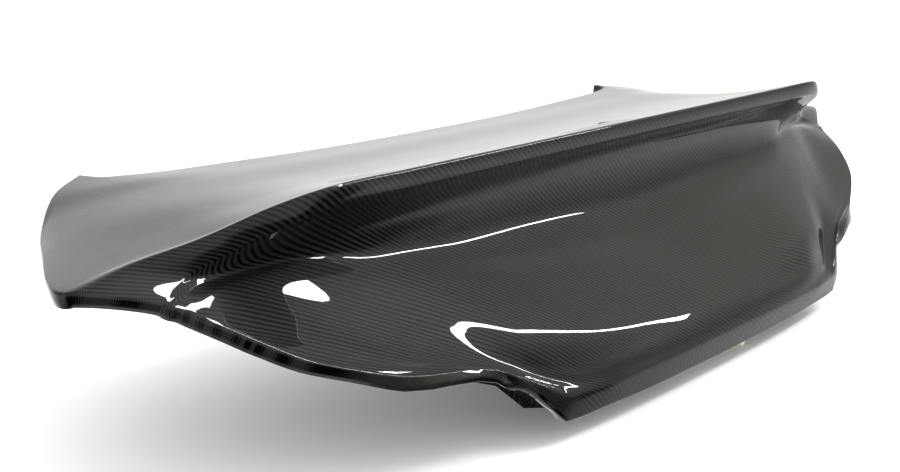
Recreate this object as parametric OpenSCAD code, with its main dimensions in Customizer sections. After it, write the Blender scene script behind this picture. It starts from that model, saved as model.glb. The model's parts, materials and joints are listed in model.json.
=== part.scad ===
// Boot lid in carbon fibre with an integral duck-tail lip.
// Millimetres. X runs across the car, -Y is the rear, +Z is up.
// The shape is drawn about the middle of the lip and then moved, so that the
// origin of the part is the middle of the hinge hole pattern.

/* [Lid] */
// Overall width of the lid across the wing tips
lid_w = 1414; // [1340:2:1480]
// Thickness of the carbon skin
skin_t = 2.2; // [1.8:0.1:2.6]
// Width of the flange that returns round the edge of the skin
flange_w = 12; // [9:0.5:15]
// Depth of the inner panel below the skin, under the deck
panel_depth = 24; // [18:1:28]
// Thickness of the inner panel
panel_t = 2; // [1.6:0.1:2.4]

/* [Hinge mounts] */
// Distance between the two hinge plates
hinge_span = 840; // [800:2:860]
// Distance between the two holes of one hinge plate
hinge_pitch = 56; // [48:1:64]
// Diameter of the hinge holes, for M8
hinge_hole_d = 8.5; // [8.4:0.1:9]
// Thickness of the hinge plates
hinge_plate_t = 4; // [3:0.5:5]

/* [Latch] */
// Opening of the striker throat
throat_w = 14; // [12:0.5:16]
// Diameter of the fork pin and the pawl pin
pin_d = 8; // [6:0.5:9]
// Thickness of the fork and the pawl
claw_t = 5; // [4:0.5:6]
// Travel of the release handle
handle_travel = 10; // [8:1:12]

/* [Stops] */
// Distance of each rubber stop from the middle
stop_x = 226; // [218:1:232]
// Diameter of the rubber stop
stop_d = 26; // [22:1:28]

/* [Hidden] */
$fn = 48;

// The character lines of the right half, from the front edge down to the bottom edge.
// Each line has eight stations, from the middle of the car out to the edge of the lid.
LINES = [
    // front edge, up to the horn
    [[0, 322, -45], [180, 327, -45], [330, 337, -43], [420, 347, -42],
     [460, 355, -41], [480, 363, -41], [490, 376, -41], [495, 393, -41]],
    // just behind the front edge
    [[0, 284, -41], [182, 288, -41], [335, 296, -40], [424, 306, -39],
     [474, 318, -40], [510, 332, -43], [535, 345, -46], [549, 356, -48]],
    // front third of the deck
    [[0, 240, -36], [185, 242, -36], [340, 250, -36], [432, 262, -37],
     [490, 280, -42], [540, 296, -49], [582, 304, -58], [608, 290, -67]],
    // middle of the deck
    [[0, 165, -29], [190, 166, -29], [350, 170, -30], [448, 180, -32],
     [510, 197, -39], [565, 215, -50], [615, 225, -61], [655, 212, -69]],
    // foot of the ramp
    [[0, 85, -17], [195, 86, -17], [362, 88, -18], [464, 96, -21],
     [522, 115, -33], [577, 140, -50], [632, 158, -62], [690, 150, -71]],
    // top of the lip
    [[0, 14, -3], [200, 14, -3], [378, 14, -3], [480, 16, -4],
     [530, 42, -19], [580, 84, -45], [638, 112, -61], [704, 112, -72]],
    // nose of the lip
    [[0, 0, 0], [200, 0, 0], [381, 0, 0], [484, 2, -1],
     [532, 28, -15], [581, 73, -43], [642, 100, -60], [698, 100, -72]],
    // lower edge of the lip
    [[0, -2, -16], [200, -2, -16], [380, -2, -16], [482, 0, -16],
     [524, 16, -28], [556, 52, -53], [598, 74, -73], [636, 63, -88]],
    // under the lip
    [[0, 8, -27], [200, 8, -27], [378, 8, -27], [474, 12, -28],
     [516, 28, -40], [550, 56, -60], [592, 72, -76], [633, 59, -90]],
    // bottom of the valley
    [[0, 14, -55], [185, 16, -53], [350, 20, -51], [440, 28, -52],
     [492, 40, -58], [532, 56, -68], [584, 68, -80], [630, 55, -91]],
    // above the crease
    [[0, 4, -92], [175, 8, -84], [325, 16, -77], [415, 26, -73],
     [468, 40, -73], [514, 53, -75], [572, 62, -82], [626, 51, -93]],
    // crease
    [[0, -25, -120], [170, -14, -108], [310, 2, -96], [400, 16, -87],
     [455, 30, -83], [505, 44, -80], [562, 54, -84], [622, 46, -96]],
    // upper body
    [[0, -58, -144], [158, -50, -134], [288, -36, -122], [372, -20, -114],
     [428, -4, -108], [480, 14, -102], [543, 30, -100], [604, 20, -108]],
    // lower body
    [[0, -98, -172], [145, -94, -168], [262, -86, -160], [335, -70, -152],
     [392, -48, -144], [448, -22, -136], [512, -3, -129], [582, -6, -123]],
    // low crease
    [[0, -131, -198], [140, -129, -199], [235, -126, -200], [290, -114, -201],
     [325, -101, -194], [378, -85, -178], [446, -64, -165], [548, -35, -143]],
    // three lines that fan out into the lamp cut-out
    [[0, -139, -207], [130, -138, -208], [218, -135, -209], [270, -126, -211],
     [305, -114, -208], [342, -103, -195], [395, -87, -179], [469, -69, -169]],
    [[0, -144, -214], [122, -143, -215], [204, -140, -216], [252, -134, -218],
     [287, -126, -217], [315, -117, -210], [343, -108, -198], [373, -97, -183]],
    [[0, -147, -220], [114, -146, -221], [192, -143, -222], [240, -139, -223],
     [272, -134, -223], [297, -128, -220], [317, -123, -213], [339, -114, -204]],
    // top of the bottom band
    [[0, -149, -226], [110, -148, -227], [186, -145, -228], [232, -142, -229],
     [262, -138, -229], [286, -134, -228], [303, -131, -227], [318, -127, -230]],
    // bottom edge
    [[0, -143, -250], [108, -142, -250], [180, -140, -250], [224, -138, -249],
     [252, -136, -249], [274, -134, -249], [289, -132, -249], [299, -131, -248]]
];

// How finely each span between two stations, and between two lines, is divided.
SPAN_COLS = [4, 4, 3, 2, 2, 2, 3];
SPAN_ROWS = [2, 2, 2, 2, 3, 3, 3, 2, 2, 2, 3, 2, 2, 3, 2, 1, 1, 1, 3];
LAST_STATION = len(LINES[0]) - 1;
LINE_SPANS = len(LINES) - 1;
stretch = lid_w / 1414;

// Edge rounding: the way out over the edge and the drop below it, in edge radii.
edge_r = 3;
EDGE = [[0, 0], [0.7, 0.3], [1, 1], [1, flange_w / edge_r]];

// Hinge plates: the place of the hole pattern on the shape
hinge_y = 258;
hinge_z = -84;
hinge_pad = [64, 108, 20];
hinge_plate = [54, 98];
nut_d = 15;
nut_h = 8;
nut_clear = 3;

// Shelf along the bottom of the inner panel, which carries the latch and the stops
shelf_z = -246.4;
shelf_under = shelf_z - panel_t;
shelf_cut = panel_t + 6;
gap = 0.3;
running = 0.04;
latch_y = -92;
latch_opening = [90, 30];
plug_x = 150;
plug_d = 24;
socket_d = 20;
stud_d = 8;

// Latch, seen along Y: the throat is in the middle
fork_x = -15;
pawl_x = 21;
pivot_z = shelf_under + 28;
fork_r = 24;
jaw_w = 11;
jaw_seat = 15;
fork_open = 65;
plate_t = 2.5;
latch_half = 42;
latch_flange = [134, 44];
bolt_x = 56;
bolt_d = 6;
bolt_clear = 2;
lever = 30;
rod_z = pivot_z + lever;
rod_y = latch_y + 1;
rod_d = 4;
peg_d = 3;
handle_x = 86;
handle_mid = handle_x + handle_travel / 2;
stem = [8, 6];

// Layers of the latch along Y: back plate, claws, cover
back_y = latch_y - 10;
claw_y = back_y + plate_t + gap;
cover_y = claw_y + claw_t + gap;
cover_depth = 9;
cover_t = 2;

// Lines of the inner panel: place on the skin in lines, forward shift and drop from it.
PANEL_LINES = [
    [0.08, -1, -3.4], [0.4, -2, -3.6], [0.8, -3, -panel_depth], [1.5, 0, -panel_depth - 2],
    [2.2, 0, -panel_depth - 2], [3, 0, -panel_depth - 3], [3.5, 0, -panel_depth - 4],
    [4, 0, -panel_depth - 5], [5, 50, -panel_depth - 23], [6, 60, -panel_depth - 30],
    [7, 54, -panel_depth - 20], [8, 44, -panel_depth - 14], [9, 34, -panel_depth - 6],
    [10, 34, -panel_depth], [11, 32, -panel_depth - 6], [12, 34, -panel_depth - 20],
    [13, 46, -panel_depth - 56], [14, 32, -panel_depth - 40], [15, 26, -panel_depth - 30],
    [16, 20, -panel_depth - 20], [17, 15, -panel_depth - 9], [18, 11, -22], [18.6, 6, -10]
];
// Hem of the inner panel, from given lines downwards: the stations between which the
// panel closes up to the skin, the station where it ends and its distance from the skin.
// At the lamp cut-outs it stays clear of the skin's flange.
HEMS = [
    [0, 4.2, 6.3, 6.93, 4.2], [11, 4, 6.3, 6.93, 4.2], [12, 3, 5.6, 6.9, 5],
    [13, 1.8, 4.7, 6.8, 7], [14, 2.8, 4.7, 6.6, 13], [15, 3.2, 4.8, 5.9, 14],
    [16, 3.4, 5.2, 5.05, 12], [17, 3.8, 5.8, 5.7, 15], [18, 4.2, 6.3, 5.9, 14],
    [18.6, 4.2, 6.3, 6.6, 5]
];
PANEL_U = [0, 0.5, 1, 1.5, 2, 2.5, 3, 3.5, 4, 4.5, 5, 5.5, 6, 6.3, 6.6, 7];
// Station after which the lines are squeezed so as to end short of the edge
squeeze_from = 5;
// Windows of the inner panel under the deck: distance from the middle and width
windows = [[75, 120], [225, 120], [345, 66]];
window_y = 185;
window_l = 92;
window_r = 18;
window_cut = [-120, 100];

// Foam core of the lip, seen along X as places forward and up
core_half = 360;
CORE = [[84, -20.5], [14, -6.8], [5, -4.6], [3.2, -13.5], [11.5, -25], [24.5, -40],
        [26, -50], [40, -50], [64, -40]];

// One step of a curve through points p1 and p2, with chord spacing that never loops.
function chord(a, b) = max(sqrt(norm(b - a)), 0.01);
function mix(a, b, ta, tb, t) = ((tb - t) * a + (t - ta) * b) / (tb - ta);
function curve_at(p0, p1, p2, p3, f) =
    let (t1 = chord(p0, p1), t2 = t1 + chord(p1, p2), t3 = t2 + chord(p2, p3))
    let (t = t1 + (t2 - t1) * f)
    let (a = mix(p0, p1, 0, t1, t), b = mix(p1, p2, t1, t2, t), c = mix(p2, p3, t2, t3, t))
    mix(mix(a, b, 0, t2, t), mix(b, c, t1, t3, t), t1, t2, t);
function before(p, i, mirrored) =
    i > 0 ? p[i - 1] : mirrored ? [-p[1][0], p[1][1], p[1][2]] : 2 * p[0] - p[1];
function after(p, i) = i + 2 < len(p) ? p[i + 2] : 2 * p[i + 1] - p[i];
function along(p, u, mirrored) =
    let (i = min(floor(u), len(p) - 2))
    curve_at(before(p, i, mirrored), p[i], p[i + 1], after(p, i), u - i);

// Places on a line or across the lines, counted in stations and in lines.
function steps(spans) =
    concat([for (i = [0 : len(spans) - 1]) for (k = [0 : spans[i] - 1]) i + k / spans[i]],
           [len(spans)]);
U = steps(SPAN_COLS);
V = steps(SPAN_ROWS);
function surface_column(u, rows) =
    let (cross = [for (line = LINES) along(line, u, true)])
    [for (v = rows) along(cross, v, false)];

// Columns of the right half, and the same columns with their mirror images before them.
function flip(column) = [for (p = column) [-p[0], p[1], p[2]]];
function both_halves(half) =
    concat([for (j = [len(half) - 1 : -1 : 1]) flip(half[j])], half);

// The flange drops straight down at the deck and turns forward towards the bottom.
function flange_dir(v) =
    let (a = 90 * min(1, max(0, (v - 4) / (LINE_SPANS - 4))))
    [-0.1, sin(a), -cos(a)];
function unit(v) = v / max(norm(v), 1e-6);

// Half of the skin's outer face with its rounded edge and flange all round.
function edge_columns(last, prev) =
    [for (k = [1 : len(EDGE) - 1])
        [for (i = [0 : len(last) - 1])
            last[i] + edge_r * (EDGE[k][0] * unit(last[i] - prev[i]) + EDGE[k][1] * flange_dir(V[i]))]];
function with_ends(column) =
    let (n = len(column), front = unit(column[0] - column[1]), rear = unit(column[n - 1] - column[n - 2]))
    concat([for (k = [len(EDGE) - 1 : -1 : 1])
                column[0] + edge_r * (EDGE[k][0] * front + EDGE[k][1] * flange_dir(0))],
           column,
           [for (k = [1 : len(EDGE) - 1])
                column[n - 1] + edge_r * (EDGE[k][0] * rear + EDGE[k][1] * flange_dir(LINE_SPANS))]);
function skin_half() =
    let (inside = [for (u = U) surface_column(u, V)], n = len(inside))
    let (edge = edge_columns(inside[n - 1], inside[n - 2]))
    concat([for (column = inside) with_ends(column)],
           [for (k = [0 : len(edge) - 1]) corner_column(with_ends(edge[k]), EDGE[k + 1][1])]);
// At a corner the two flanges meet at the deeper of the two drops.
function corner_column(column, drop) =
    let (n = len(column), m = len(EDGE) - 1)
    [for (i = [0 : n - 1])
        let (k = i < m ? m - i : i > n - 1 - m ? i - (n - 1 - m) : 0, v = i < m ? 0 : LINE_SPANS)
        column[i] - (k == 0 ? 0 : edge_r * min(EDGE[k][1], drop)) * flange_dir(v)];

// Normal of a net of columns, pointing out of the lid, and a face moved along it.
function net_normal(net, j, i) =
    let (m = len(net) - 1, n = len(net[0]) - 1)
    let (across = net[min(j + 1, m)][i] - net[max(j - 1, 0)][i])
    let (down = net[j][min(i + 1, n)] - net[j][max(i - 1, 0)])
    unit(cross(down, across));
function moved_in(net, t) =
    [for (j = [0 : len(net) - 1])
        [for (i = [0 : len(net[0]) - 1]) net[j][i] - t * net_normal(net, j, i)]];

function stretched(net) = [for (column = net) [for (p = column) [p[0] * stretch, p[1], p[2]]]];

// Closed shell between an outer and an inner net of the same size.
module shell(outer, inner) {
    cols = len(outer);
    rows = len(outer[0]);
    half = cols * rows;
    function at(j, i) = j * rows + i;
    function quad_faces(a, b, c, d) = [[a, c, b], [a, d, c]];
    faces = concat(
        [for (j = [0 : cols - 2]) for (i = [0 : rows - 2])
            for (f = quad_faces(at(j, i), at(j, i + 1), at(j + 1, i + 1), at(j + 1, i))) f],
        [for (j = [0 : cols - 2]) for (i = [0 : rows - 2])
            for (f = quad_faces(half + at(j, i), half + at(j + 1, i), half + at(j + 1, i + 1),
                                half + at(j, i + 1))) f],
        [for (j = [0 : cols - 2]) for (i = [0, rows - 1])
            for (f = i == 0
                ? quad_faces(at(j, i), at(j + 1, i), half + at(j + 1, i), half + at(j, i))
                : quad_faces(at(j + 1, i), at(j, i), half + at(j, i), half + at(j + 1, i))) f],
        [for (i = [0 : rows - 2]) for (j = [0, cols - 1])
            for (f = j == 0
                ? quad_faces(at(j, i + 1), at(j, i), half + at(j, i), half + at(j, i + 1))
                : quad_faces(at(j, i), at(j, i + 1), half + at(j, i + 1), half + at(j, i))) f]);
    polyhedron(points = concat([for (c = outer) for (p = c) p], [for (c = inner) for (p = c) p]),
               faces = faces, convexity = 8);
}

module placed() {
    translate([0, -hinge_y, -hinge_z]) children();
}

// Net of the inner panel: the skin moved inwards, closing up towards its edge
// and cut off flat where the shelf is.
function hem(line) = let (above = [for (h = HEMS) if (h[0] <= line[0]) h]) above[len(above) - 1];
function closing(u, h) =
    let (f = min(1, max(0, (u - h[1]) / (h[2] - h[1])))) f * f * (3 - 2 * f);
function panel_point(net, j, i) =
    let (line = PANEL_LINES[i], h = hem(line), f = closing(PANEL_U[j], h))
    let (p = net[j][i] + (1 - f) * [0, line[1], line[2]] - f * h[4] * net_normal(net, j, i))
    [p[0], p[1], max(p[2], shelf_z)];
function squeezed(u, end) =
    u < squeeze_from
    ? u
    : squeeze_from + (u - squeeze_from) * (end - squeeze_from) / (LAST_STATION - squeeze_from);
function panel_half() =
    let (net = [for (u = PANEL_U)
        [for (line = PANEL_LINES) surface_column(squeezed(u, hem(line)[3]), [line[0]])[0]]])
    [for (j = [0 : len(net) - 1]) [for (i = [0 : len(PANEL_LINES) - 1]) panel_point(net, j, i)]];

module rounded_plate(size, r, h) {
    linear_extrude(height = h)
        offset(r = r)
            square([size[0] - 2 * r, size[1] - 2 * r], center = true);
}

module both_sides() {
    children();
    mirror([1, 0, 0]) children();
}

module on_shelf_underside() {
    translate([0, latch_y, shelf_under - gap]) children();
}

// Turns a shape drawn in XY into the plane of the latch, standing on layer y.
module in_latch_plane(x, y) {
    translate([x, y, pivot_z]) rotate([90, 0, 0]) mirror([0, 0, 1]) children();
}

module outer_skin() {
    net = stretched(both_halves(skin_half()));
    color("#1d1b1b") placed() shell(net, moved_in(net, skin_t));
}

module hinge_pads() {
    for (side = [-1, 1])
        translate([side * hinge_span / 2 - hinge_pad[0] / 2, hinge_y - hinge_pad[1] / 2,
                   hinge_z + hinge_plate_t + gap])
            cube(hinge_pad);
}

module shelf_hole(x, d) {
    translate([x, latch_y, shelf_under - 1]) cylinder(d = d, h = shelf_cut);
}

module shelf_slot(x, y, size) {
    translate([x, y, shelf_under - 1])
        linear_extrude(height = shelf_cut) square(size, center = true);
}

module panel_cuts() {
    for (side = [-1, 1]) {
        for (window = windows)
            translate([side * window[0], window_y, window_cut[0]])
                rounded_plate([window[1], window_l], window_r, window_cut[1]);
        for (end = [-1, 1])
            translate([side * hinge_span / 2, hinge_y + end * hinge_pitch / 2, hinge_z])
                cylinder(d = nut_d + nut_clear, h = hinge_plate_t + nut_h + nut_clear);
        shelf_hole(side * bolt_x, bolt_d + bolt_clear);
        shelf_hole(side * plug_x, plug_d + 2 * gap);
        shelf_hole(side * stop_x, socket_d + 2 * gap);
    }
    shelf_slot(0, latch_y, latch_opening);
    shelf_slot(handle_mid, rod_y, [handle_travel + stem[0] + 10, stem[1] + 8]);
}

module inner_panel() {
    net = stretched(both_halves(panel_half()));
    color("#26262a") placed() difference() {
        union() {
            shell(net, moved_in(net, panel_t));
            hinge_pads();
        }
        panel_cuts();
    }
}

module lip_core() {
    color("#d9c27a") placed()
        translate([-core_half, 0, 0]) rotate([90, 0, 90])
            linear_extrude(height = 2 * core_half) polygon(CORE);
}

module hinge_plate(side) {
    color("#8f9296") placed()
        translate([side * hinge_span / 2, hinge_y, hinge_z])
            difference() {
                translate([-hinge_plate[0] / 2, -hinge_plate[1] / 2, 0])
                    cube([hinge_plate[0], hinge_plate[1], hinge_plate_t]);
                for (end = [-1, 1])
                    translate([0, end * hinge_pitch / 2, -1])
                        cylinder(d = hinge_hole_d, h = hinge_plate_t + 2);
            }
}

module hinge_plate_left() {
    hinge_plate(-1);
}

module hinge_plate_right() {
    hinge_plate(1);
}

module hinge_nuts() {
    color("#b9bcc0") placed()
        for (side = [-1, 1], end = [-1, 1])
            translate([side * hinge_span / 2, hinge_y + end * hinge_pitch / 2, hinge_z + hinge_plate_t])
                difference() {
                    cylinder(d = nut_d, h = nut_h);
                    translate([0, 0, -1]) cylinder(d = hinge_hole_d, h = nut_h + 2);
                }
}

module latch_reinforcement() {
    size = [150, 64];
    nut = [12, 6];
    color("#8f9296") placed()
        translate([0, latch_y, shelf_z + gap])
            difference() {
                union() {
                    translate([-size[0] / 2, -size[1] / 2, 0]) cube([size[0], size[1], 2]);
                    for (side = [-1, 1])
                        translate([side * bolt_x, 0, 0]) cylinder(d = nut[0], h = 2 + nut[1]);
                }
                translate([-latch_opening[0] / 2, -latch_opening[1] / 2, -1])
                    cube([latch_opening[0], latch_opening[1], 4]);
                for (side = [-1, 1])
                    translate([side * bolt_x, 0, -1]) cylinder(d = bolt_d + 2 * running, h = 12);
            }
}

// Throat of the latch, seen along Y, open downwards
module throat_outline() {
    translate([-throat_w / 2, -60]) square([throat_w, 60]);
    circle(d = throat_w);
}

module latch_plate() {
    throat_cut = 60;
    wall_h = 56;
    color("#c9cbce") placed() {
        difference() {
            union() {
                on_shelf_underside() translate([-latch_flange[0] / 2, -latch_flange[1] / 2, -plate_t])
                    cube([latch_flange[0], latch_flange[1], plate_t]);
                translate([-latch_half, back_y, shelf_under - gap - plate_t])
                    cube([2 * latch_half, plate_t, wall_h]);
            }
            in_latch_plane(0, back_y - throat_cut / 2) linear_extrude(height = throat_cut) throat_outline();
            on_shelf_underside() for (side = [-1, 1])
                translate([side * bolt_x, 0, -plate_t - 1]) cylinder(d = bolt_d + 2 * gap, h = plate_t + 2);
            for (x = [fork_x, pawl_x])
                in_latch_plane(x, back_y - 1) cylinder(d = pin_d + 2 * running, h = plate_t + 2);
        }
    }
}

module latch_cover() {
    low = -22;
    size = [2 * latch_half, lever - rod_d / 2 - 1 - low];
    color("#2b2c2f") placed()
        difference() {
            in_latch_plane(0, cover_y) difference() {
                translate([-size[0] / 2, low, 0]) cube([size[0], size[1], cover_depth]);
                translate([-size[0] / 2 + cover_t, low + cover_t, -1])
                    cube([size[0] - 2 * cover_t, size[1] - 2 * cover_t, cover_depth - cover_t + 1]);
            }
            in_latch_plane(0, cover_y - 1) linear_extrude(height = cover_depth + 2) throat_outline();
            for (x = [fork_x, pawl_x])
                in_latch_plane(x, cover_y) cylinder(d = pin_d + 2 * running, h = cover_depth + 1);
        }
}

module latch_fork() {
    color("#d8b24a") placed()
        in_latch_plane(fork_x, claw_y) difference() {
            linear_extrude(height = claw_t) difference() {
                circle(r = fork_r);
                rotate([0, 0, -fork_open]) {
                    translate([jaw_seat, 0]) circle(d = jaw_w);
                    translate([jaw_seat, -jaw_w / 2]) square([fork_r, jaw_w]);
                }
            }
            translate([0, 0, -1]) cylinder(d = pin_d + 2 * running, h = claw_t + 2);
        }
}

// Arm of a lever between its boss and a round end
module arm(length, angle, w) {
    rotate([0, 0, angle]) {
        translate([0, -w / 2]) square([length, w]);
        translate([length, 0]) circle(d = w);
    }
}

module latch_pawl() {
    tip = 21;
    tip_angle = 125;
    color("#d8b24a") placed()
        in_latch_plane(pawl_x, claw_y) difference() {
            linear_extrude(height = claw_t) difference() {
                union() {
                    circle(d = 17);
                    arm(tip, tip_angle, 9);
                    arm(lever + 1.5, 90, 9);
                }
                translate([-peg_d / 2 - 0.6, lever - peg_d / 2 - 0.6]) square([peg_d + 1.2, peg_d + 3]);
            }
            translate([0, 0, -1]) cylinder(d = pin_d + 2 * running, h = claw_t + 2);
        }
}

module pivot_pin(x) {
    head = [pin_d + 5, 2.5];
    length = plate_t + claw_t + cover_depth + 2 * gap;
    color("#b9bcc0") placed()
        in_latch_plane(x, back_y) {
            cylinder(d = pin_d, h = length + head[1]);
            translate([0, 0, -head[1]]) cylinder(d = head[0], h = head[1]);
        }
}

module fork_pin() {
    pivot_pin(fork_x);
}

module pawl_pin() {
    pivot_pin(pawl_x);
}

// Torsion spring round a pin inside the cover: touching turns and two straight legs
module torsion_spring(x, leg_angle) {
    wire = 1.4;
    pitch = 1.2;
    turns = 4;
    leg = [1.1, 8];
    r = pin_d / 2 + 1.6;
    color("#9a9da1") placed()
        in_latch_plane(x, cover_y + wire) {
            rotate_extrude()
                for (k = [0 : turns - 1]) translate([r, k * pitch]) circle(d = wire);
            for (end = [0, 1])
                rotate([0, 0, leg_angle + 130 * end]) translate([r, 0, end * (turns - 1) * pitch])
                    rotate([-90, 0, 0]) cylinder(d = leg[0], h = leg[1]);
        }
}

module fork_spring() {
    torsion_spring(fork_x, 150);
}

module pawl_spring() {
    torsion_spring(pawl_x, -60);
}

module latch_bolts() {
    head = [11.5, 4];
    color("#b9bcc0") placed()
        for (side = [-1, 1])
            translate([side * bolt_x, latch_y, shelf_under - gap - plate_t]) {
                translate([0, 0, -head[1]]) cylinder(d = head[0], h = head[1], $fn = 6);
                cylinder(d = bolt_d, h = 16);
            }
}

module release_rod() {
    color("#b9bcc0") placed() {
        translate([pawl_x - 3, rod_y, rod_z]) rotate([0, 90, 0])
            cylinder(d = rod_d, h = handle_x - pawl_x + 3 + stem[0]);
        translate([pawl_x, rod_y, rod_z]) rotate([90, 0, 0])
            cylinder(d = peg_d, h = rod_y - claw_y + 1);
    }
}

module release_handle() {
    grip_z = shelf_under - 22;
    color("#e8e4c8") placed()
        difference() {
            union() {
                translate([handle_x - stem[0] / 2, rod_y - stem[1] / 2, grip_z])
                    cube([stem[0], stem[1], rod_z - grip_z]);
                translate([handle_x - stem[0] / 2, rod_y, rod_z]) rotate([0, 90, 0])
                    cylinder(d = 9, h = stem[0]);
                translate([handle_x, rod_y + 20, grip_z]) rotate([90, 0, 0]) cylinder(d = 12, h = 40);
                for (end = [-20, 20])
                    translate([handle_x, rod_y + end, grip_z]) sphere(d = 12);
            }
            translate([handle_x - stem[0], rod_y, rod_z]) rotate([0, 90, 0])
                cylinder(d = rod_d + 2 * running, h = 2 * stem[0]);
        }
}

module handle_bezel() {
    slot = [handle_travel + stem[0] + 2, stem[1] + 2];
    collar = [slot[0] + 6, slot[1] + 4.6];
    flange = [slot[0] + 24, slot[1] + 20];
    color("#2b2c2f") placed()
        translate([handle_mid, rod_y, shelf_under - gap])
            difference() {
                union() {
                    translate([-flange[0] / 2, -flange[1] / 2, -2.5]) cube([flange[0], flange[1], 2.5]);
                    translate([-collar[0] / 2, -collar[1] / 2, -1]) cube([collar[0], collar[1], 8]);
                }
                translate([-slot[0] / 2, -slot[1] / 2, -5]) cube([slot[0], slot[1], 20]);
            }
}

module rubber_stop(side) {
    color("#17181a") placed()
        translate([side * stop_x, latch_y, shelf_under - gap]) {
            translate([0, 0, -18]) cylinder(d = stud_d, h = 32);
            translate([0, 0, -18]) rotate_extrude() {
                square([stop_d / 2, 10]);
                translate([0, -4]) square([stop_d / 2 - 4, 4]);
                intersection() {
                    translate([stop_d / 2 - 4, 0]) circle(r = 4);
                    translate([0, -4]) square([stop_d, 4]);
                }
            }
        }
}

module stop_left() {
    rubber_stop(-1);
}

module stop_right() {
    rubber_stop(1);
}

module stop_socket(side) {
    color("#c9cbce") placed()
        translate([side * stop_x, latch_y, shelf_under - gap])
            difference() {
                union() {
                    translate([0, 0, -2]) cylinder(d = socket_d + 10, h = 2);
                    cylinder(d = socket_d, h = 18);
                }
                translate([0, 0, -3]) cylinder(d = stud_d + 2 * running, h = 24);
            }
}

module stop_socket_left() {
    stop_socket(-1);
}

module stop_socket_right() {
    stop_socket(1);
}

module access_plugs() {
    color("#17181a") placed()
        for (side = [-1, 1])
            translate([side * plug_x, latch_y, shelf_under - gap]) {
                translate([0, 0, -2]) cylinder(d = plug_d + 8, h = 2);
                cylinder(d = plug_d, h = 7);
            }
}

outer_skin();
inner_panel();
lip_core();
hinge_plate_left();
hinge_plate_right();
hinge_nuts();
latch_reinforcement();
latch_plate();
latch_cover();
latch_fork();
latch_pawl();
fork_pin();
pawl_pin();
fork_spring();
pawl_spring();
latch_bolts();
release_handle();
release_rod();
handle_bezel();
stop_left();
stop_right();
stop_socket_left();
stop_socket_right();
access_plugs();
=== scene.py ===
# Carbon fibre boot lid with a duck-tail lip: the pieces, finishes and studio
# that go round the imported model. Metres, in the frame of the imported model.
import json
import math

import bmesh
import bpy
from bpy.props import FloatProperty, FloatVectorProperty, IntProperty, PointerProperty
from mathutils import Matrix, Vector


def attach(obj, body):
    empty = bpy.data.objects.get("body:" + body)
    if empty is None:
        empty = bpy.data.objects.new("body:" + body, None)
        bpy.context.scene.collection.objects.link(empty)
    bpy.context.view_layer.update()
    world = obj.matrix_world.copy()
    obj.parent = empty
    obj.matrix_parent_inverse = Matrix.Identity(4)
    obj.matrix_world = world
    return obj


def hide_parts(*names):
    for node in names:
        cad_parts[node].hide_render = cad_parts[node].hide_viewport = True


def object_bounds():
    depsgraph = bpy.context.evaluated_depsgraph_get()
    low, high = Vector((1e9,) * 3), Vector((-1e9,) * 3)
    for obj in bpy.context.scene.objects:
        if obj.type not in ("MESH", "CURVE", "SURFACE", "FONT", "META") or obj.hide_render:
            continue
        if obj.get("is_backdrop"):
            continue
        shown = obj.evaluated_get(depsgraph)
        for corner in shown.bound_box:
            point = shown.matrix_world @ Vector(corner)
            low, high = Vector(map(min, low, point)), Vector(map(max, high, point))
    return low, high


bl_info = {
    "name": "Boot Lid Studio",
    "version": (1, 0, 0),
    "blender": (4, 5, 0),
    "location": "View3D > Sidebar > Boot Lid",
    "description": "Builds the skin, inner panel, latch and stops of a carbon fibre boot lid",
    "category": "Object",
}

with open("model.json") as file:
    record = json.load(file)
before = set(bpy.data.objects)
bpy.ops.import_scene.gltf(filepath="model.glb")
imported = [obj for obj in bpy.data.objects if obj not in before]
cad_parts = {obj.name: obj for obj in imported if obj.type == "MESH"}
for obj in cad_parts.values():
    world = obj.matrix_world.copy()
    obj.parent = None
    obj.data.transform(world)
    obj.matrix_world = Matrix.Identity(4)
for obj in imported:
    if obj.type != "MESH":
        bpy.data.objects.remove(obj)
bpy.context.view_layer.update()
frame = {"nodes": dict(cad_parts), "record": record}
NODES = frame["nodes"]

MM = 0.001
# The middle of the hinge hole pattern, from the middle of the lip, in millimetres.
HINGE_CENTRE = Vector((0, 258, -84))

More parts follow.
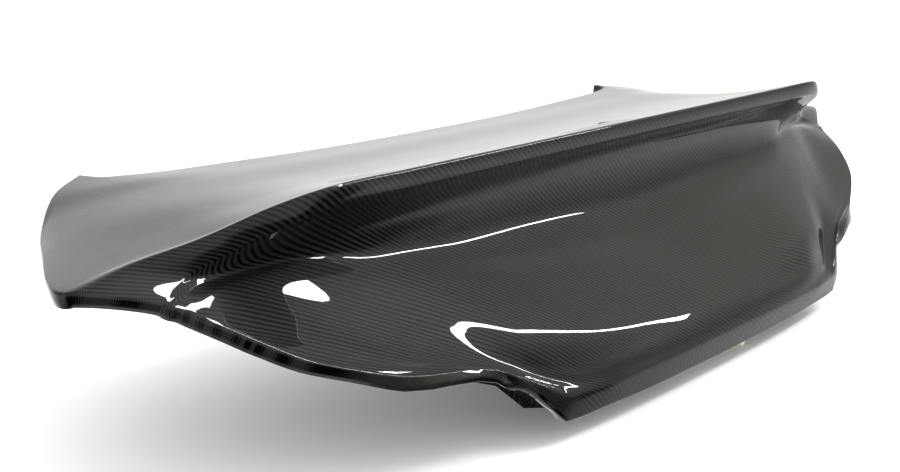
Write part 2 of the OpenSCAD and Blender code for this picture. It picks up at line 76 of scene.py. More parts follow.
# Character lines of the right half, from the front edge down to the bottom edge, in
# millimetres from the middle of the lip. Each has eight stations, from the middle of the
# car out to the edge of the lid.
LINES = [
    # front edge, up to the horn
    [[0, 322, -45], [180, 327, -45], [330, 337, -43], [420, 347, -42],
     [460, 355, -41], [480, 363, -41], [490, 376, -41], [495, 393, -41]],
    # just behind the front edge
    [[0, 284, -41], [182, 288, -41], [335, 296, -40], [424, 306, -39],
     [474, 318, -40], [510, 332, -43], [535, 345, -46], [549, 356, -48]],
    # front third of the deck
    [[0, 240, -36], [185, 242, -36], [340, 250, -36], [432, 262, -37],
     [490, 280, -42], [540, 296, -49], [582, 304, -58], [608, 290, -67]],
    # middle of the deck
    [[0, 165, -29], [190, 166, -29], [350, 170, -30], [448, 180, -32],
     [510, 197, -39], [565, 215, -50], [615, 225, -61], [655, 212, -69]],
    # foot of the ramp
    [[0, 85, -17], [195, 86, -17], [362, 88, -18], [464, 96, -21],
     [522, 115, -33], [577, 140, -50], [632, 158, -62], [690, 150, -71]],
    # top of the lip
    [[0, 14, -3], [200, 14, -3], [378, 14, -3], [480, 16, -4],
     [530, 42, -19], [580, 84, -45], [638, 112, -61], [704, 112, -72]],
    # nose of the lip
    [[0, 0, 0], [200, 0, 0], [381, 0, 0], [484, 2, -1],
     [532, 28, -15], [581, 73, -43], [642, 100, -60], [698, 100, -72]],
    # lower edge of the lip
    [[0, -2, -16], [200, -2, -16], [380, -2, -16], [482, 0, -16],
     [524, 16, -28], [556, 52, -53], [598, 74, -73], [636, 63, -88]],
    # under the lip
    [[0, 8, -27], [200, 8, -27], [378, 8, -27], [474, 12, -28],
     [516, 28, -40], [550, 56, -60], [592, 72, -76], [633, 59, -90]],
    # bottom of the valley
    [[0, 14, -55], [185, 16, -53], [350, 20, -51], [440, 28, -52],
     [492, 40, -58], [532, 56, -68], [584, 68, -80], [630, 55, -91]],
    # above the crease
    [[0, 4, -92], [175, 8, -84], [325, 16, -77], [415, 26, -73],
     [468, 40, -73], [514, 53, -75], [572, 62, -82], [626, 51, -93]],
    # crease
    [[0, -25, -120], [170, -14, -108], [310, 2, -96], [400, 16, -87],
     [455, 30, -83], [505, 44, -80], [562, 54, -84], [622, 46, -96]],
    # upper body
    [[0, -58, -144], [158, -50, -134], [288, -36, -122], [372, -20, -114],
     [428, -4, -108], [480, 14, -102], [543, 30, -100], [604, 20, -108]],
    # lower body
    [[0, -117, -186], [142, -115, -185], [244, -107, -177], [309, -95, -175],
     [352, -81, -171], [404, -62, -160], [476, -38, -148], [582, -6, -123]],
    # low crease
    [[0, -131, -198], [140, -129, -199], [235, -126, -200], [290, -114, -201],
     [325, -101, -194], [378, -85, -178], [446, -64, -165], [548, -35, -143]],
    # three lines that fan out into the lamp cut-out
    [[0, -139, -207], [130, -138, -208], [218, -135, -209], [270, -126, -211],
     [305, -114, -208], [342, -103, -195], [395, -87, -179], [469, -69, -169]],
    [[0, -144, -214], [122, -143, -215], [204, -140, -216], [252, -134, -218],
     [287, -126, -217], [315, -117, -210], [343, -108, -198], [373, -97, -183]],
    [[0, -147, -220], [114, -146, -221], [192, -143, -222], [240, -139, -223],
     [272, -134, -223], [297, -128, -220], [317, -123, -213], [339, -114, -204]],
    # top of the bottom band
    [[0, -149, -226], [110, -148, -227], [186, -145, -228], [232, -142, -229],
     [262, -138, -229], [286, -134, -228], [303, -131, -227], [318, -127, -230]],
    # bottom edge
    [[0, -143, -250], [108, -142, -250], [180, -140, -250], [224, -138, -249],
     [252, -136, -249], [274, -134, -249], [289, -132, -249], [299, -131, -248]]
]
# Rows and columns of faces between two lines and between two stations.
SPAN_ROWS = [6, 7, 10, 10, 12, 12, 10, 8, 8, 8, 9, 8, 12, 6, 6, 4, 4, 3, 8]
SPAN_COLUMNS = [20, 20, 16, 12, 12, 12, 14]
LIP_LINE = 6
# The rubber stops: height of the head, ribs round it, radius of the stud and its thread.
STOP_HEAD = 14 * MM
STOP_RIBS = 3
STUD_RADIUS = 4 * MM
THREAD_PITCH = 1.5 * MM
# The latch springs: radius of the wire and of the coil, length of a leg and angle wound.
WIRE_RADIUS = 0.5 * MM
COIL_RADIUS = 5.6 * MM
SPRING_LEG = 7 * MM
COIL_SWEEP = math.radians(1310)
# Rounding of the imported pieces' edges. Those with thin walls take the smaller one.
BEVEL = 0.6 * MM
SMALL_BEVEL = 0.3 * MM
SMALL_NODES = ("fork_spring", "pawl_spring", "latch_plate", "latch_cover", "handle_bezel")
# Two faces of the inner panel that meet at less than this angle are shaded as one.
SMOOTH_ANGLE = math.radians(32)

# The room by height, from straight down to straight up, and patches of it: heading and
# height in degrees, inner and outer angle, and colour.
ROOM_HEIGHTS = [
    (0.0, (0.24, 0.24, 0.24)), (0.15, (0.34, 0.34, 0.34)), (0.37, (0.85, 0.85, 0.85)),
    (0.5, (0.6, 0.59, 0.57)), (0.63, (0.3, 0.285, 0.265)), (0.75, (0.36, 0.335, 0.31)),
    (1.0, (0.4, 0.37, 0.34)),
]
ROOM_PATCHES = [
    (-150, 20, 20, 60, (0.55, 0.53, 0.5)),
    (-110, -55, 38, 56, (0.01, 0.01, 0.01)),
    (-76, -10, 20, 34, (0.01, 0.01, 0.01)),
    (50, 12, 14, 60, (1.0, 0.99, 0.97)),
]
# The lamps, all facing down: name, place, turn in degrees, size and power.
LAMPS = [
    ("strip", (1.5, -1.42, 1.6), 2, (2.3, 0.1), 30),
    ("side_strip", (0.2, -0.9, 1.6), 90, (1.7, 0.12), 26),
]


# ---------------------------------------------------------------- the curved skin


def chord(a, b):
    return max(math.sqrt((b - a).length), 0.01)


def mix(a, b, ta, tb, t):
    return ((tb - t) * a + (t - ta) * b) / (tb - ta)


def curve_at(p0, p1, p2, p3, f):
    """A place between p1 and p2 on a curve that passes through all four."""
    t1 = chord(p0, p1)
    t2 = t1 + chord(p1, p2)
    t3 = t2 + chord(p2, p3)
    t = t1 + (t2 - t1) * f
    a = mix(p0, p1, 0, t1, t)
    b = mix(p1, p2, t1, t2, t)
    c = mix(p2, p3, t2, t3, t)
    return mix(mix(a, b, 0, t2, t), mix(b, c, t1, t3, t), t1, t2, t)


def along(points, u, mirrored):
    """The place at u, counted in points. A mirrored line runs on across the middle."""
    i = min(int(u), len(points) - 2)
    if i > 0:
        before = points[i - 1]
    elif mirrored:
        before = Vector((-points[1].x, points[1].y, points[1].z))
    else:
        before = 2 * points[0] - points[1]
    after = points[i + 2] if i + 2 < len(points) else 2 * points[i + 1] - points[i]
    return curve_at(before, points[i], points[i + 1], after, u - i)


def steps(spans):
    return [i + k / n for i, n in enumerate(spans) for k in range(n)] + [len(spans)]


def skin_columns():
    """Columns of places on the right half of the skin, in metres in the frame."""
    lines = [[Vector(p) for p in line] for line in LINES]
    rows = steps(SPAN_ROWS)
    columns = []
    for u in steps(SPAN_COLUMNS):
        across = [along(line, u, True) for line in lines]
        columns.append([(along(across, v, False) - HINGE_CENTRE) * MM for v in rows])
    return columns


def cloth_lengths(columns):
    """How far each place is along the cloth, across from the middle and down from the lip."""
    lip = sum(SPAN_ROWS[:LIP_LINE])
    count = len(columns[0])
    across = [[0.0] * count for _ in columns]
    down = [[0.0] * count for _ in columns]
    for j, column in enumerate(columns):
        for i in range(count):
            if j:
                step = (column[i] - columns[j - 1][i]).length
                across[j][i] = across[j - 1][i] + step
        for i in range(lip + 1, count):
            down[j][i] = down[j][i - 1] + (column[i] - column[i - 1]).length
        for i in range(lip - 1, -1, -1):
            down[j][i] = down[j][i + 1] - (column[i + 1] - column[i]).length
    return across, down


def rim_facts(bm, tag, rounds):
    """For each boundary vertex: its place, the way out over the edge and the flange's way.

    The ways are evened out along the rim, so that the flange runs smoothly."""
    out_of, into = {}, {}
    rim = [v for v in bm.verts if v.is_boundary]
    for vert in rim:
        outward = Vector()
        for edge in [e for e in vert.link_edges if e.is_boundary]:
            face = edge.link_faces[0]
            run = (edge.verts[1].co - edge.verts[0].co).normalized()
            way = run.cross(face.normal)
            if way.dot(face.calc_center_median() - edge.verts[0].co) > 0:
                way.negate()
            outward += way
        out_of[vert] = outward.normalized()
        into[vert] = -vert.normal
    for _ in range(rounds):
        for ways in (out_of, into):
            evened = {}
            for vert in rim:
                near = [e.other_vert(vert) for e in vert.link_edges if e.is_boundary]
                evened[vert] = (ways[vert] + sum((ways[n] for n in near), Vector())).normalized()
            ways.update(evened)
    facts = {}
    for vert in rim:
        down = into[vert] - into[vert].dot(out_of[vert]) * out_of[vert]
        facts[vert[tag]] = (vert.co.copy(), out_of[vert], down.normalized())
    return facts


def extrude_rim(bm, facts, tag, profile):
    """Carries the boundary out along the profile: pairs of way out and drop, in metres."""
    for out, drop in profile:
        rim = [e for e in bm.edges if e.is_boundary]
        made = bmesh.ops.extrude_edge_only(bm, edges=rim)["geom"]
        for vert in [g for g in made if isinstance(g, bmesh.types.BMVert)]:
            place, outward, down = facts[vert[tag]]
            vert.co = place + out * outward + drop * down


def edge_profile(radius, width, count):
    turns = [math.radians(90) * k / count for k in range(1, count + 1)]
    profile = [(radius * math.sin(t), radius * (1 - math.cos(t))) for t in turns]
    return profile + [(radius, radius + (width - radius) * f) for f in (0.5, 1)]


def mesh_object(name, bm, material, body, node=None):
    """Turns a bmesh into a finished piece that rides on a body."""
    mesh = bpy.data.meshes.new(name)
    bm.to_mesh(mesh)
    bm.free()
    piece = bpy.data.objects.new(name, mesh)
    bpy.context.scene.collection.objects.link(piece)
    mesh.materials.append(material)
    for face in mesh.polygons:
        face.use_smooth = True
    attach(piece, body)
    if node:
        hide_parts(node)
    return piece


def slot_of(node):
    return next(s["material_slot"] for s in frame["record"]["subparts"] if s["node"] == node)


def skin_mesh(settings):
    """The skin's outer face with its rounded edge and flange, and its cloth lengths."""
    half = skin_columns()
    across, down = cloth_lengths(half)
    columns = len(half) - 1
    rows = len(half[0]) - 1
    bm = bmesh.new()
    bmesh.ops.create_grid(bm, x_segments=2 * columns, y_segments=rows, size=1)
    cloth = bm.verts.layers.float_vector.new("cloth")
    tag = bm.verts.layers.int.new("rim")
    for vert in bm.verts:
        j = round(vert.co.x * columns)
        i = round((1 - vert.co.y) / 2 * rows)
        side = -1 if j < 0 else 1
        place = half[abs(j)][i]
        vert.co = (side * place.x, place.y, place.z)
        vert[cloth] = (side * across[abs(j)][i], down[abs(j)][i], 0)
        vert[tag] = vert.index
    bmesh.ops.recalc_face_normals(bm, faces=bm.faces)
    if sum(f.normal.z * f.calc_area() for f in bm.faces) < 0:
        bmesh.ops.reverse_faces(bm, faces=bm.faces)
    bm.verts.index_update()
    bm.normal_update()
    facts = rim_facts(bm, tag, 6)
    profile = edge_profile(settings.edge_radius, settings.flange_width, settings.edge_steps)
    extrude_rim(bm, facts, tag, profile)
    bm.normal_update()
    uv = bm.loops.layers.uv.new("cloth")
    for face in bm.faces:
        for loop in face.loops:
            place = loop.vert[cloth]
            loop[uv].uv = (place[0], place[1])
    return bm


def box_of(node):
    """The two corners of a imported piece's box."""
    corners = [NODES[node].matrix_world @ Vector(c) for c in NODES[node].bound_box]
    return [Vector(pick(c[k] for c in corners) for k in range(3)) for pick in (min, max)]


def wire_mesh(points, radius):
    """A round wire along the points."""
    curve = bpy.data.curves.new("wire", "CURVE")
    curve.dimensions = "3D"
    curve.bevel_depth = radius
    curve.bevel_resolution = 3
    curve.use_fill_caps = True
    spline = curve.splines.new("POLY")
    spline.points.add(len(points) - 1)
    for target, place in zip(spline.points, points):
        target.co = (*place, 1)
    draft = bpy.data.objects.new("wire", curve)
    bm = bmesh.new()
    bm.from_mesh(draft.to_mesh())
    draft.to_mesh_clear()
    bpy.data.objects.remove(draft)
    bpy.data.curves.remove(curve)
    return bm


def coil_points(centre, low, high, radius, leg, start, sweep):
    """A torsion spring about an axis along Y: a leg, the turns and a second leg."""
    count = 96
    turns = [(start - sweep * k / count, low + (high - low) * k / count)
             for k in range(count + 1)]
    places = [(radius * math.cos(a), radius * math.sin(a), y) for a, y in turns]
    first, last = turns[0][0], turns[-1][0]
    (x0, z0, _), (x1, z1, _) = places[0], places[-1]
    places.insert(0, (x0 - leg * math.sin(first), z0 + leg * math.cos(first), low))
    places.append((x1 + leg * math.sin(last), z1 - leg * math.cos(last), high))
    return [(centre.x + x, y, centre.z + z) for x, z, y in places]


def lathe(profile, centre, count):
    """A closed turned body from (radius, height) pairs that start and end on the axis."""
    bm = bmesh.new()
    verts = [bm.verts.new((centre.x + r, centre.y, z)) for r, z in profile]
    edges = [bm.edges.new(pair) for pair in zip(verts, verts[1:])]
    bmesh.ops.spin(bm, geom=verts + edges, cent=centre, axis=(0, 0, 1), angle=2 * math.pi,
                   steps=count, use_merge=True)
    bmesh.ops.remove_doubles(bm, verts=bm.verts, dist=0.000001)
    bmesh.ops.recalc_face_normals(bm, faces=bm.faces)
    return bm


# ---------------------------------------------------------------- finishes


def add(tree, kind, inputs=None, **settings):
    """A shader node with its settings; an input takes a value or another node's socket."""
    made = tree.nodes.new(kind)
    for key, value in settings.items():
        setattr(made, key, value)
    for key, value in (inputs or {}).items():
        if isinstance(value, bpy.types.NodeSocket):
            tree.links.new(value, made.inputs[key])
        else:
            made.inputs[key].default_value = value
    return made


def calc(tree, operation, a, b=0.0):
    return add(tree, "ShaderNodeMath", {0: a, 1: b}, operation=operation).outputs[0]


def blend_colours(tree, factor, first, second):
    made = add(tree, "ShaderNodeMix", {0: factor, 6: first, 7: second}, data_type="RGBA")
    return made.outputs[2]


def ramp(tree, factor, stops):
    """A colour ramp through (place, grey or colour) stops."""
    made = add(tree, "ShaderNodeValToRGB", {0: factor})
    elements = made.color_ramp.elements
    while len(elements) < len(stops):
        elements.new(0.5)
    for element, (place, colour) in zip(elements, stops):
        element.position = place
        if isinstance(colour, (int, float)):
            colour = (colour, colour, colour)
        element.color = (*colour, 1)
    return made.outputs[0]


def finish_named(name):
    """A new material and its principled shader."""
    material = bpy.data.materials.new(name)
    material.use_nodes = True
    return material, material.node_tree, material.node_tree.nodes["Principled BSDF"]


def set_sockets(shader, **values):
    for name, value in values.items():
        shader.inputs[name.replace("_", " ")].default_value = value


def link_bump(tree, shader, height, distance, strength=1.0):
    bump = add(tree, "ShaderNodeBump", {
        "Height": height, "Distance": distance, "Strength": strength})
    tree.links.new(bump.outputs[0], shader.inputs["Normal"])


def carbon_finish(name, tow, dark, light, gloss):
    """Two-by-two twill on the piece's cloth map: each tow passes over two and under two."""
    material, tree, shader = finish_named(name)
    place = add(tree, "ShaderNodeUVMap", uv_map="cloth").outputs[0]
    counted = add(tree, "ShaderNodeVectorMath", {0: place, "Scale": 1 / tow}, operation="SCALE")
    axes = add(tree, "ShaderNodeSeparateXYZ", {0: counted.outputs[0]})
    x, y = axes.outputs[0], axes.outputs[1]
    order = calc(tree, "SUBTRACT", calc(tree, "FLOOR", x), calc(tree, "FLOOR", y))
    warp_up = calc(tree, "LESS_THAN", calc(tree, "FLOORED_MODULO", order, 4), 2)
    crowns = []
    for axis in (x, y):
        off = calc(tree, "MULTIPLY_ADD", calc(tree, "FRACT", axis), 2)
        off.node.inputs[2].default_value = -1
        crowns.append(calc(tree, "SUBTRACT", 1, calc(tree, "MULTIPLY", off, off)))
    crown = add(tree, "ShaderNodeMix", {0: warp_up, 2: crowns[1], 3: crowns[0]}).outputs[0]
    fibres = []
    for stretch in ((90, 4, 1), (4, 90, 1)):
        run = add(tree, "ShaderNodeMapping", {"Vector": counted.outputs[0], "Scale": stretch})
        noise = add(tree, "ShaderNodeTexNoise", {
            "Vector": run.outputs[0], "Scale": 0.12, "Detail": 2})
        fibres.append(noise.outputs[0])
    fibre = add(tree, "ShaderNodeMix", {0: warp_up, 2: fibres[1], 3: fibres[0]}).outputs[0]
    # Painted sheen: warp and weft tows get a dark and a light colour in place of their different
    # reflection of the light.
    painted_tow_sheen = blend_colours(tree, warp_up, (*dark, 1), (*light, 1))
    shade = calc(tree, "MULTIPLY_ADD", fibre, 0.9)
    shade.node.inputs[2].default_value = 0.55
    # Painted shade: each tow is painted darker towards its edges, into the gaps between the tows.
    # The fibre noise above is grain.
    edge = calc(tree, "MULTIPLY_ADD", calc(tree, "POWER", crown, 0.35), 0.3)
    edge.node.inputs[2].default_value = 0.7
    shade = calc(tree, "MULTIPLY", shade, edge)
    weave_with_painted_sheen = add(tree, "ShaderNodeVectorMath", {0: painted_tow_sheen, "Scale": shade}, operation="SCALE")
    tree.links.new(weave_with_painted_sheen.outputs[0], shader.inputs["Base Color"])
    set_sockets(shader, Roughness=0.42, Specular_IOR_Level=0.12)
    if gloss:
        set_sockets(shader, Coat_Weight=1.0, Coat_Roughness=0.02, Coat_IOR=1.5)
    link_bump(tree, shader, crown, 0.00012, 0.6)
    return material


def metal_finish(name, colour, roughness, brushed):
    """Plated or turned steel: fine streaks or grain in shade and roughness."""
    material, tree, shader = finish_named(name)
    place = add(tree, "ShaderNodeTexCoord").outputs["Object"]
    stretch = (1, 1, 14) if brushed else (1, 1, 1)
    run = add(tree, "ShaderNodeMapping", {"Vector": place, "Scale": stretch})
    grain = add(tree, "ShaderNodeTexNoise", {
        "Vector": run.outputs[0], "Scale": 900, "Detail": 4})
    cloud = add(tree, "ShaderNodeTexNoise", {"Vector": place, "Scale": 60, "Detail": 5})
    dull = [0.72 * c for c in colour]
    spread = ramp(tree, cloud.outputs[0], [(0.35, 0), (0.7, 1)])
    blended = blend_colours(tree, spread, (*dull, 1), (*colour, 1))
    tree.links.new(blended, shader.inputs["Base Color"])
    rough = calc(tree, "MULTIPLY_ADD", grain.outputs[0], 0.25)
    rough.node.inputs[2].default_value = roughness - 0.1
    tree.links.new(rough, shader.inputs["Roughness"])
    set_sockets(shader, Metallic=1.0)
    link_bump(tree, shader, grain.outputs[0], 0.00003, 0.4)
    return material


def moulded_finish(name, colour, roughness, grain_size, depth):
    """Moulded plastic, rubber or foam: a fine pebbled face with a little colour drift."""
    material, tree, shader = finish_named(name)
    place = add(tree, "ShaderNodeTexCoord").outputs["Object"]
    pebble = add(tree, "ShaderNodeTexVoronoi", {"Vector": place, "Scale": 1 / grain_size})
    cloud = add(tree, "ShaderNodeTexNoise", {"Vector": place, "Scale": 25, "Detail": 6})
    worn = [min(1, 1.5 * c + 0.01) for c in colour]
    spread = ramp(tree, cloud.outputs[0], [(0.4, 0), (0.75, 1)])
    blended = blend_colours(tree, spread, (*colour, 1), (*worn, 1))
    tree.links.new(blended, shader.inputs["Base Color"])
    rough = calc(tree, "MULTIPLY_ADD", cloud.outputs[0], 0.2)
    rough.node.inputs[2].default_value = roughness - 0.1
    tree.links.new(rough, shader.inputs["Roughness"])
    link_bump(tree, shader, pebble.outputs[0], depth, 0.5)
    return material


# ---------------------------------------------------------------- sizes and colours


class SkinSettings(bpy.types.PropertyGroup):
    """Sizes and weave of the lacquered skin."""

    thickness: FloatProperty(
        name="Thickness", description="Wall of the skin", default=2.2 * MM,
        min=1.5 * MM, max=3 * MM, unit="LENGTH", precision=4)
    edge_radius: FloatProperty(
        name="Edge radius", description="Rounding of the outer edge", default=3 * MM,
        min=1 * MM, max=5 * MM, unit="LENGTH", precision=4)
    edge_steps: IntProperty(
        name="Edge steps", description="Faces across the rounding", default=6, min=2, max=12)
    flange_width: FloatProperty(
        name="Flange", description="Width of the flange round the edge", default=15 * MM,
        min=8 * MM, max=20 * MM, unit="LENGTH", precision=4)
    tow: FloatProperty(
        name="Tow", description="Width of one tow of the twill", default=2.0 * MM,
        min=1 * MM, max=4 * MM, unit="LENGTH", precision=4)
    # The dark and light tow colours are a painted sheen: tows that catch the light are painted
    # lighter.
    dark: FloatVectorProperty(
        name="Dark tow", description="Tows that run away from the light",
        default=(0.0008, 0.0008, 0.0008), size=3, min=0, max=1, subtype="COLOR")
    light: FloatVectorProperty(
        name="Light tow", description="Tows that catch the light",
        default=(0.016, 0.0138, 0.012), size=3, min=0, max=1, subtype="COLOR")


class StudioSettings(bpy.types.PropertyGroup):
    """Camera and floor."""

    camera_place: FloatVectorProperty(
        name="Camera", description="Place of the camera", default=(-1.287, -1.089, 0.328),
        size=3, subtype="TRANSLATION", unit="LENGTH")
    camera_turn: FloatProperty(
        name="Turn", description="Camera's heading from the X axis towards the Y axis",
        default=math.radians(40.88), subtype="ANGLE")
    camera_dip: FloatProperty(
        name="Dip", description="How far the camera looks down",
        default=math.radians(14.19), subtype="ANGLE")
    lens: FloatProperty(name="Lens", description="Focal length in millimetres", default=52)
    floor_size: FloatProperty(
        name="Floor", description="Width of the floor", default=12.0, unit="LENGTH")


# ---------------------------------------------------------------- pieces


class LID_OT_skin(bpy.types.Operator):
    """Makes the lacquered carbon fibre skin"""

    bl_idname = "lid.skin"
    bl_label = "Outer skin"

    def execute(self, context):
        settings = context.scene.lid_skin
        finish = carbon_finish("carbon_gloss", settings.tow, settings.dark, settings.light, True)
        piece = mesh_object("skin", skin_mesh(settings), finish, "lid", "outer_skin")
        wall = piece.modifiers.new("wall", "SOLIDIFY")
        wall.thickness = settings.thickness
        wall.offset = -1
        wall.use_even_offset = False
        return {"FINISHED"}


class LID_OT_finishes(bpy.types.Operator):
    """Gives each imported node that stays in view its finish"""

    bl_idname = "lid.finishes"
    bl_label = "Finishes"

    def execute(self, context):
        steel = metal_finish("zinc_steel", (0.52, 0.53, 0.54), 0.36, False)
        bright = metal_finish("bright_steel", (0.62, 0.63, 0.64), 0.28, True)
        gold = metal_finish("yellow_zinc", (0.66, 0.5, 0.2), 0.34, False)
        wire = metal_finish("spring_steel", (0.35, 0.36, 0.38), 0.3, True)
        black = moulded_finish("black_plastic", (0.022, 0.022, 0.024), 0.55, 0.0009, 0.00006)
        glow = moulded_finish("glow_plastic", (0.74, 0.8, 0.5), 0.5, 0.002, 0.00003)
        rubber = moulded_finish("stop_rubber", (0.016, 0.016, 0.017), 0.72, 0.0014, 0.00008)
        soft = moulded_finish("plug_rubber", (0.02, 0.02, 0.021), 0.66, 0.0012, 0.00006)
        foam = moulded_finish("foam", (0.6, 0.48, 0.22), 0.9, 0.0016, 0.0004)
        finishes = {m.name: m for m in (steel, bright, gold, wire, black, glow, rubber, soft, foam)}
        for name, piece in NODES.items():
            material = finishes.get(slot_of(name))
            if material:
                piece.data.materials.clear()
                piece.data.materials.append(material)
                soften(piece, SMALL_BEVEL if name in SMALL_NODES else BEVEL)
        return {"FINISHED"}


class LID_OT_springs(bpy.types.Operator):
    """Winds the two torsion springs of the latch"""

    bl_idname = "lid.springs"
    bl_label = "Springs"

    def execute(self, context):
        material = metal_finish("spring_wire", (0.35, 0.36, 0.38), 0.3, True)
        for name, pin, start in (
                ("fork_spring", "fork_pin", 150), ("pawl_spring", "pawl_pin", -60)):
            low, high = box_of(name)
            centre = sum(box_of(pin), Vector()) / 2
            points = coil_points(
                centre, low.y + WIRE_RADIUS, high.y - WIRE_RADIUS, COIL_RADIUS, SPRING_LEG,
                math.radians(start), COIL_SWEEP)
            mesh_object(name + "_wire", wire_mesh(points, WIRE_RADIUS), material, "lid", name)
        return {"FINISHED"}


class LID_OT_stops(bpy.types.Operator):
    """Turns the two ribbed rubber stops"""

    bl_idname = "lid.stops"
    bl_label = "Stops"

    def execute(self, context):
        material = moulded_finish(
            "stop_rubber_ribbed", (0.016, 0.016, 0.017), 0.72, 0.0014, 0.00008)
        for side in ("left", "right"):
            node = "stop_" + side
            low, high = box_of(node)
            centre = (low + high) / 2
            radius = (high.x - low.x) / 2
            head = low.z + STOP_HEAD
            profile = [(0, low.z + 1.2 * MM), (radius * 0.45, low.z + 1.2 * MM),
                       (radius * 0.5, low.z), (radius - 1.5 * MM, low.z)]
            for k in range(STOP_RIBS):
                foot = low.z + (head - low.z) * k / STOP_RIBS
                step = (head - low.z) / STOP_RIBS
                profile += [(radius - 0.4 * MM, foot + 0.12 * step), (radius, foot + 0.35 * step),
                            (radius, foot + 0.65 * step), (radius - 0.4 * MM, foot + 0.88 * step),
                            (radius - 1.2 * MM, foot + step)]
            profile += [(STUD_RADIUS, head)]
            turns = int((high.z - head - 2 * MM) / THREAD_PITCH)
            for k in range(turns):
                foot = head + MM + k * THREAD_PITCH
                profile += [(STUD_RADIUS, foot + 0.3 * THREAD_PITCH),
                            (STUD_RADIUS - 0.5 * MM, foot + 0.8 * THREAD_PITCH)]
            profile += [(STUD_RADIUS - 0.5 * MM, high.z - 0.5 * MM),
                        (STUD_RADIUS - MM, high.z), (0, high.z)]
            bm = lathe(profile, centre, 48)
            mesh_object(node + "_turned", bm, material, side + "_stop", node)
        return {"FINISHED"}


def soften(piece, width):
    """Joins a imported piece's faces and rounds its edges a little."""
    weld = piece.modifiers.new("weld", "WELD")
    weld.merge_threshold = 0.00001
    bevel = piece.modifiers.new("edges", "BEVEL")
    bevel.width = width
    bevel.segments = 2
    bevel.limit_method = "ANGLE"
    bevel.angle_limit = math.radians(40)


class LID_OT_inner(bpy.types.Operator):
    """Makes the satin carbon fibre inner panel"""

    bl_idname = "lid.inner"
    bl_label = "Inner panel"

    def execute(self, context):
        settings = context.scene.lid_skin
        finish = carbon_finish("carbon_satin", settings.tow, settings.dark, settings.light, False)
        bm = bmesh.new()
        bm.from_mesh(NODES["inner_panel"].data)
        bmesh.ops.transform(bm, matrix=NODES["inner_panel"].matrix_world, verts=bm.verts)
        bmesh.ops.remove_doubles(bm, verts=bm.verts, dist=0.00002)
        bmesh.ops.dissolve_degenerate(bm, edges=bm.edges, dist=0.00002)
        bmesh.ops.recalc_face_normals(bm, faces=bm.faces)
        uv = bm.loops.layers.uv.new("cloth")
        for face in bm.faces:
            flat = abs(face.normal.z) > 0.5
            for loop in face.loops:
                place = loop.vert.co
                loop[uv].uv = (place.x, place.y if flat else place.z)
        for edge in bm.edges:
            edge.smooth = edge.calc_face_angle(math.pi) < SMOOTH_ANGLE
        mesh_object("panel", bm, finish, "lid", "inner_panel")
        return {"FINISHED"}


class LID_OT_stage(bpy.types.Operator):
    """Lays the floor and sets the light and the camera"""

    bl_idname = "lid.stage"
    bl_label = "Stage"

    def execute(self, context):
        settings = context.scene.lid_studio
        lay_floor(settings)
        set_world(context.scene)
        set_lamps()
        set_camera(context.scene, settings)
        context.scene.view_settings.view_transform = "Standard"
        return {"FINISHED"}


def lay_floor(settings):
    bm = bmesh.new()
    bmesh.ops.create_grid(bm, x_segments=8, y_segments=8, size=settings.floor_size / 2)
    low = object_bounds()[0].z
    bmesh.ops.translate(bm, verts=bm.verts, vec=(0, -0.1, low - 1 * MM))
    mesh = bpy.data.meshes.new("floor")
    bm.to_mesh(mesh)
    bm.free()
    floor = bpy.data.objects.new("floor", mesh)
    bpy.context.scene.collection.objects.link(floor)
    material, tree, shader = finish_named("floor_paper")
    place = add(tree, "ShaderNodeTexCoord").outputs["Object"]
    cloud = add(tree, "ShaderNodeTexNoise", {"Vector": place, "Scale": 3, "Detail": 4})
    pale = blend_colours(tree, cloud.outputs[0], (0.9, 0.9, 0.9, 1), (0.93, 0.93, 0.93, 1))
    tree.links.new(pale, shader.inputs["Base Color"])
    set_sockets(shader, Roughness=0.8)
    mesh.materials.append(material)
    floor.visible_glossy = False
    floor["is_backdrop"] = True


def towards(heading, height):
    """A unit vector from a heading, from the X axis towards the Y axis, and a height angle."""
    a, e = math.radians(heading), math.radians(height)
    return Vector((math.cos(a) * math.cos(e), math.sin(a) * math.cos(e), math.sin(e)))


def patch(tree, way, heading, height, inner, outer):
    """1 inside the inner angle from a direction, falling to 0 at the outer angle."""
    near = add(tree, "ShaderNodeVectorMath", {0: way, 1: towards(heading, height)},
               operation="DOT_PRODUCT")
    made = add(tree, "ShaderNodeMapRange", {
        "Value": near.outputs["Value"], "From Min": math.cos(math.radians(outer)),
        "From Max": math.cos(math.radians(inner)), "To Min": 0.0, "To Max": 1.0},
        interpolation_type="SMOOTHSTEP")
    return made.outputs[0]


def set_world(scene):
    """A white surround to look at, even light for matt faces and a room to be reflected."""
    world = bpy.data.worlds.new("studio")
    scene.world = world
    world.use_nodes = True
    tree = world.node_tree
    out = tree.nodes["World Output"]
    way = add(tree, "ShaderNodeTexCoord").outputs["Generated"]
    axes = add(tree, "ShaderNodeSeparateXYZ", {0: way})
    height = calc(tree, "MULTIPLY_ADD", axes.outputs[2], 0.5)
    height.node.inputs[2].default_value = 0.5
    light = ramp(tree, height, ROOM_HEIGHTS)
    for heading, angle, inner, outer, level in ROOM_PATCHES:
        mask = patch(tree, way, heading, angle, inner, outer)
        light = blend_colours(tree, mask, light, (*level, 1))
    glow = add(tree, "ShaderNodeBackground", {0: light, 1: 1.0})
    white = add(tree, "ShaderNodeBackground", {0: (1, 1, 1, 1), 1: 1.0})
    soft = add(tree, "ShaderNodeBackground", {0: (1, 1, 1, 1), 1: 1.7})
    ray = add(tree, "ShaderNodeLightPath").outputs
    mixed = glow
    for kind, light_of_kind in (("Is Camera Ray", white), ("Is Diffuse Ray", soft)):
        mixed = add(tree, "ShaderNodeMixShader", {
            0: ray[kind], 1: mixed.outputs[0], 2: light_of_kind.outputs[0]})
    tree.links.new(mixed.outputs[0], out.inputs["Surface"])


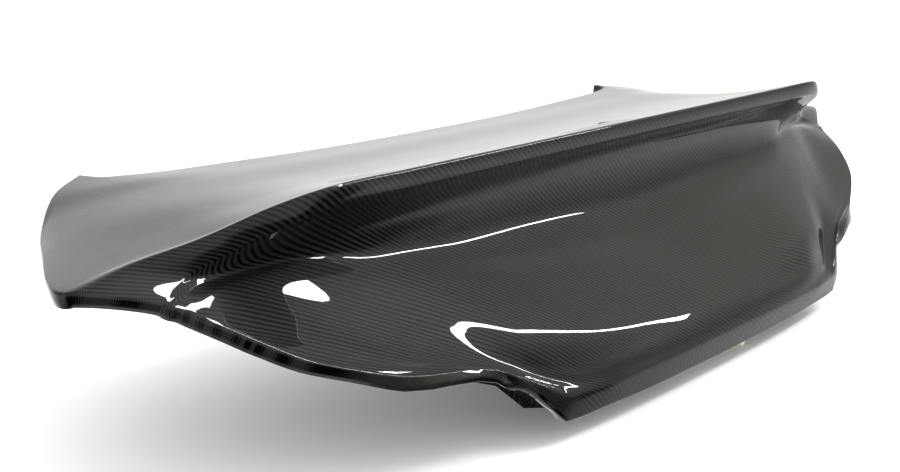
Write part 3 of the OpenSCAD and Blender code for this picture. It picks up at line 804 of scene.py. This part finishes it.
def set_lamps():
    for name, place, turn, size, power in LAMPS:
        data = bpy.data.lights.new(name, "AREA")
        data.shape = "RECTANGLE"
        data.size, data.size_y = size
        data.energy = power
        lamp = bpy.data.objects.new(name, data)
        lamp.location = place
        lamp.rotation_euler.z = math.radians(turn)
        bpy.context.scene.collection.objects.link(lamp)


def set_camera(scene, settings):
    data = bpy.data.cameras.new("camera")
    data.lens = settings.lens
    data.sensor_width = 36
    camera = bpy.data.objects.new("camera", data)
    camera.location = settings.camera_place
    dip, turn = settings.camera_dip, settings.camera_turn
    way = Vector((math.cos(turn) * math.cos(dip), math.sin(turn) * math.cos(dip), -math.sin(dip)))
    camera.rotation_euler = way.to_track_quat("-Z", "Y").to_euler()
    scene.collection.objects.link(camera)
    scene.camera = camera


class LID_PT_panel(bpy.types.Panel):
    """Lists the pieces and their settings"""

    bl_idname = "LID_PT_panel"
    bl_label = "Boot Lid"
    bl_space_type = "VIEW_3D"
    bl_region_type = "UI"
    bl_category = "Boot Lid"

    def draw(self, context):
        layout = self.layout
        for group in (context.scene.lid_skin, context.scene.lid_studio):
            box = layout.box()
            for key in group.bl_rna.properties.keys():
                if key not in ("rna_type", "name"):
                    box.prop(group, key)
        for operator in OPERATORS:
            layout.operator(operator.bl_idname)


OPERATORS = (
    LID_OT_skin, LID_OT_inner, LID_OT_springs, LID_OT_stops, LID_OT_finishes, LID_OT_stage)
CLASSES = (SkinSettings, StudioSettings, *OPERATORS, LID_PT_panel)


def register():
    for cls in CLASSES:
        bpy.utils.register_class(cls)
    bpy.types.Scene.lid_skin = PointerProperty(type=SkinSettings)
    bpy.types.Scene.lid_studio = PointerProperty(type=StudioSettings)


def unregister():
    del bpy.types.Scene.lid_studio
    del bpy.types.Scene.lid_skin
    for cls in reversed(CLASSES):
        bpy.utils.unregister_class(cls)


def main():
    register()
    bpy.ops.lid.skin()
    bpy.ops.lid.inner()
    bpy.ops.lid.springs()
    bpy.ops.lid.stops()
    bpy.ops.lid.finishes()
    bpy.ops.lid.stage()


if __name__ == "__main__":
    main()
